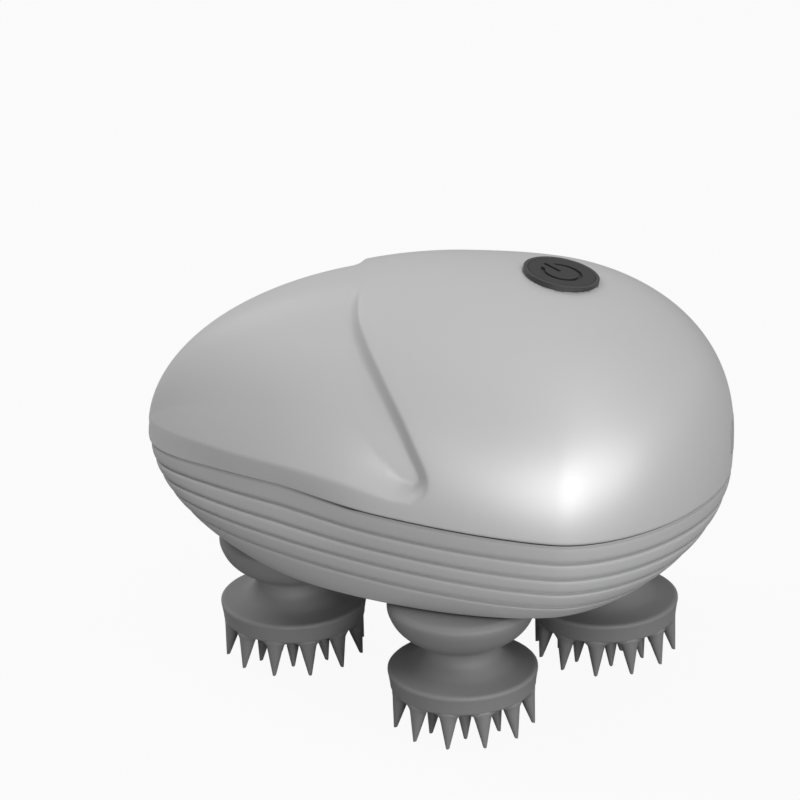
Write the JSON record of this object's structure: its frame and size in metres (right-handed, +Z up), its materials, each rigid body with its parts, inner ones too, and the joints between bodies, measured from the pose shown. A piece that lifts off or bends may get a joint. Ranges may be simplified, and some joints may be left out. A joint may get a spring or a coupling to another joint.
{
  "type": "electric scalp massager",
  "caption": "Egg-shaped cordless hand massager with a ribbed lower shell, a power button on the crown and soft toothed heads that turn underneath.",
  "frame": {"origin": "centre of the part's box, on the plane that the tips of the heads' teeth stand on", "axes": "+Z up along the heads' shafts, +X from the nose to the blunt tail, +Y completes the right-handed frame"},
  "size_m": [0.126, 0.0992, 0.0897],
  "materials": {
    "shell_pearl": "satin pearl-grey moulded plastic",
    "shell_grey": "matte mid-grey moulded plastic",
    "seal_rubber": "soft black rubber",
    "trim_dark": "satin dark-grey plastic ring",
    "button_dark": "satin charcoal plastic with an engraved power symbol",
    "head_silicone": "matte charcoal silicone",
    "shell_plug": "light-grey silicone",
    "plastic_inner": "plain moulded plastic",
    "gear_plastic": "natural acetal",
    "gear_brass": "machined",
    "bush_brass": "sintered bronze",
    "terminal_brass": "stamped",
    "steel": "ground steel",
    "steel_can": "zinc-plated drawn steel",
    "core_steel": "laminated core with lacquered copper winding",
    "magnet": "sintered ferrite",
    "battery_wrap": "shrink-wrapped lithium cell",
    "lead_jacket": "silicone-insulated lead",
    "board_green": "glass-epoxy board",
    "chip_black": "moulded component",
    "socket_metal": "nickel-plated socket shell"
  },
  "bodies": {
    "housing": {"upper_shell": "shell_pearl", "lower_shell": "shell_grey", "shell_gasket": "seal_rubber", "button_bezel": "trim_dark", "gear_plate": "plastic_inner", "base_frame": "plastic_inner", "central_pin": "steel", "reduction_pins": "steel", "retaining_clips": "steel", "lower_bushes": "bush_brass", "upper_bushes": "bush_brass", "shaft_seals": "seal_rubber", "housing_screws": "steel", "motor_can": "steel_can", "motor_end_cap": "plastic_inner", "motor_magnets": "magnet", "motor_terminals": "terminal_brass", "motor_screws": "steel", "battery_pack": "battery_wrap", "battery_tray": "plastic_inner", "battery_leads": "lead_jacket", "control_board": "board_green", "board_components": "chip_black", "board_screws": "steel", "switch_housing": "chip_black", "charge_board": "board_green", "usb_socket": "socket_metal"},
    "button": {"power_button": "button_dark", "switch_plunger": "plastic_inner"},
    "plug": {"port_plug": "shell_plug"},
    "rotor": {"motor_shaft": "steel", "motor_core": "core_steel", "motor_pinion": "gear_brass"},
    "reduction_1": {"reduction_gear_1": "gear_plastic"},
    "reduction_2": {"reduction_gear_2": "gear_plastic"},
    "central": {"central_gear": "gear_plastic"},
    "massage_head_tail": {"head_tail": "head_silicone", "hub_tail": "plastic_inner", "shaft_tail": "steel", "gear_tail": "gear_plastic"},
    "massage_head_left": {"head_left": "head_silicone", "hub_left": "plastic_inner", "shaft_left": "steel", "gear_left": "gear_plastic"},
    "massage_head_nose": {"head_nose": "head_silicone", "hub_nose": "plastic_inner", "shaft_nose": "steel", "gear_nose": "gear_plastic"},
    "massage_head_right": {"head_right": "head_silicone", "hub_right": "plastic_inner", "shaft_right": "steel", "gear_right": "gear_plastic"}
  },
  "joints": [
    {"name": "central_gear_spin", "type": "hinge", "parent": "housing", "child": "central", "pos_m": [0.0012, 0, 0.0366], "axis": [0, 0, 1], "continuous": true},
    {"name": "reduction_2_spin", "type": "hinge", "parent": "housing", "child": "reduction_2", "pos_m": [0.02517, 0.0212, 0.04], "axis": [0, 0, 1], "continuous": true},
    {"name": "reduction_1_spin", "type": "hinge", "parent": "housing", "child": "reduction_1", "pos_m": [0.01547, 0.00786, 0.043], "axis": [0, 0, 1], "continuous": true},
    {"name": "rotor_spin", "type": "hinge", "parent": "housing", "child": "rotor", "pos_m": [-0.00047, 0.00358, 0.06], "axis": [0, 0, 1], "continuous": true},
    {"name": "head_tail_spin", "type": "hinge", "parent": "housing", "child": "massage_head_tail", "pos_m": [0.0352, 0, 0.02], "axis": [0, 0, 1], "continuous": true},
    {"name": "head_left_spin", "type": "hinge", "parent": "housing", "child": "massage_head_left", "pos_m": [0.00534, 0.03375, 0.02], "axis": [0, 0, 1], "continuous": true},
    {"name": "head_nose_spin", "type": "hinge", "parent": "housing", "child": "massage_head_nose", "pos_m": [-0.0328, 0, 0.02], "axis": [0, 0, 1], "continuous": true},
    {"name": "head_right_spin", "type": "hinge", "parent": "housing", "child": "massage_head_right", "pos_m": [0.00534, -0.03375, 0.02], "axis": [0, 0, 1], "continuous": true},
    {"name": "button_press", "type": "slide", "parent": "housing", "child": "button", "axis": [-0.2038, 0, -0.979], "range_m": [0, 0.0006], "stiffness_N_per_m": 900},
    {"name": "plug_pull", "type": "slide", "parent": "housing", "child": "plug", "axis": [1, 0, 0], "range_m": [0, 0.006]}
  ],
  "couplings": [
    {"joint": "reduction_1_spin", "follows": "rotor_spin", "ratio": -0.22222},
    {"joint": "reduction_2_spin", "follows": "rotor_spin", "ratio": 0.049383},
    {"joint": "central_gear_spin", "follows": "rotor_spin", "ratio": -0.0087146},
    {"joint": "head_tail_spin", "follows": "rotor_spin", "ratio": 0.034858},
    {"joint": "head_left_spin", "follows": "rotor_spin", "ratio": 0.034858},
    {"joint": "head_nose_spin", "follows": "rotor_spin", "ratio": 0.034858},
    {"joint": "head_right_spin", "follows": "rotor_spin", "ratio": 0.034858}
  ]
}
